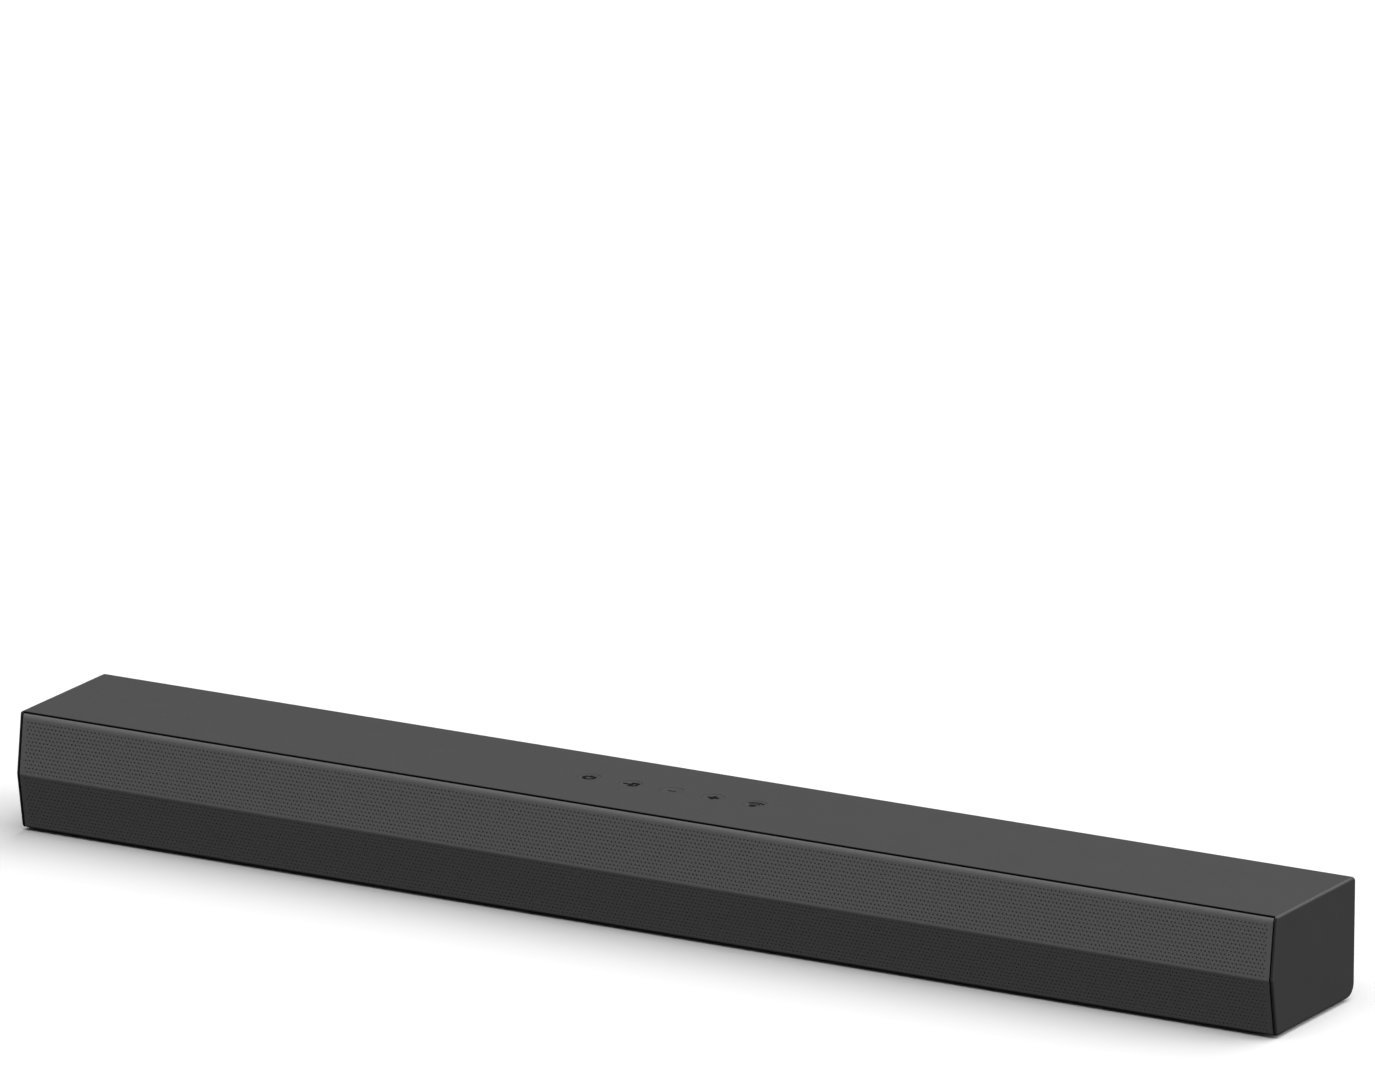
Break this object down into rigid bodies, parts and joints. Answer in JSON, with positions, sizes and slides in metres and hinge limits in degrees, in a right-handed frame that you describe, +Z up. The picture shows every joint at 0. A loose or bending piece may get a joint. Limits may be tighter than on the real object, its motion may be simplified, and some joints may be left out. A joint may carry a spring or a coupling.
{
  "type": "soundbar",
  "caption": "Long low loudspeaker bar with a folded perforated front, push keys on top and a connector bay in the back.",
  "frame": {"origin": "on the table under the middle of the bar, at the middle of the bounding box's base", "axes": "+X along the bar to the listener's right when facing its front, the front faces -Y, +Z up"},
  "size_m": [0.72, 0.087, 0.063],
  "materials": {
    "cabinet": "fine moulded texture, satin matte",
    "moulding": "plain black moulding",
    "grille": "powder-coated perforated steel",
    "key": "fine moulded texture, with printed marks",
    "rubber": "matte",
    "steel": "zinc plated",
    "ferrite": "ground ceramic",
    "cone": "pressed paper",
    "coil": "enamelled copper",
    "spider": "resin-dipped weave",
    "foam": "soft closed-cell foam",
    "board": "solder mask",
    "aluminium": "extruded",
    "brass": "turned",
    "lead": "insulated wire"
  },
  "bodies": {
    "cabinet": {"top_cabinet": "cabinet", "bottom_cabinet": "moulding", "front_baffle": "moulding", "front_grille": "grille", "switch_power": "moulding", "switch_source": "moulding", "switch_volume_down": "moulding", "switch_volume_up": "moulding", "switch_pairing": "moulding", "button_board": "board", "button_ribbon": "foam", "left_driver_frame": "steel", "left_driver_surround": "rubber", "left_driver_spider": "spider", "left_driver_magnet": "ferrite", "left_driver_yoke": "steel", "left_driver_gasket": "foam", "right_driver_frame": "steel", "right_driver_surround": "rubber", "right_driver_spider": "spider", "right_driver_magnet": "ferrite", "right_driver_yoke": "steel", "right_driver_gasket": "foam", "left_speaker_lead": "lead", "right_speaker_lead": "lead", "main_board": "board", "amplifier_heat_sink": "aluminium", "wireless_module": "steel", "power_board": "board", "power_transformer": "ferrite", "mains_capacitor": "moulding", "receiver_board": "board", "connector_bay": "moulding", "power_inlet": "moulding", "power_pin_left": "brass", "power_pin_right": "brass", "inlet_lead": "lead", "video_socket": "steel", "data_socket": "steel", "optical_socket": "moulding", "foot_left": "rubber", "foot_right": "rubber", "wall_insert_left": "brass", "wall_insert_right": "brass", "cabinet_screw_1": "steel", "cabinet_screw_2": "steel", "cabinet_screw_3": "steel", "cabinet_screw_4": "steel", "cabinet_screw_5": "steel", "cabinet_screw_6": "steel"},
    "key_power": {"button_power": "key"},
    "key_source": {"button_source": "key"},
    "key_volume_down": {"button_volume_down": "key"},
    "key_volume_up": {"button_volume_up": "key"},
    "key_pairing": {"button_pairing": "key"},
    "left_cone": {"left_driver_cone": "cone", "left_driver_coil": "coil"},
    "right_cone": {"right_driver_cone": "cone", "right_driver_coil": "coil"},
    "shutter": {"optical_shutter": "moulding"}
  },
  "joints": [
    {"name": "press_power", "type": "slide", "parent": "cabinet", "child": "key_power", "axis": [0, 0, -1], "range_m": [0, 0.0006], "stiffness_N_per_m": 1000},
    {"name": "press_source", "type": "slide", "parent": "cabinet", "child": "key_source", "axis": [0, 0, -1], "range_m": [0, 0.0006], "stiffness_N_per_m": 1000},
    {"name": "press_volume_down", "type": "slide", "parent": "cabinet", "child": "key_volume_down", "axis": [0, 0, -1], "range_m": [0, 0.0006], "stiffness_N_per_m": 1000},
    {"name": "press_volume_up", "type": "slide", "parent": "cabinet", "child": "key_volume_up", "axis": [0, 0, -1], "range_m": [0, 0.0006], "stiffness_N_per_m": 1000},
    {"name": "press_pairing", "type": "slide", "parent": "cabinet", "child": "key_pairing", "axis": [0, 0, -1], "range_m": [0, 0.0006], "stiffness_N_per_m": 1000},
    {"name": "left_cone_stroke", "type": "slide", "parent": "cabinet", "child": "left_cone", "axis": [0, -1, 0], "range_m": [-0.002, 0.002], "stiffness_N_per_m": 2000, "deforming": ["left_driver_surround", "left_driver_spider"]},
    {"name": "right_cone_stroke", "type": "slide", "parent": "cabinet", "child": "right_cone", "axis": [0, -1, 0], "range_m": [-0.002, 0.002], "stiffness_N_per_m": 2000, "deforming": ["right_driver_surround", "right_driver_spider"]},
    {"name": "shutter_swing", "type": "hinge", "parent": "cabinet", "child": "shutter", "pos_m": [0.036, 0.0245, 0.0343], "axis": [-1, 0, 0], "range_deg": [0, 80], "stiffness_Nm_per_rad": 0.0005}
  ]
}
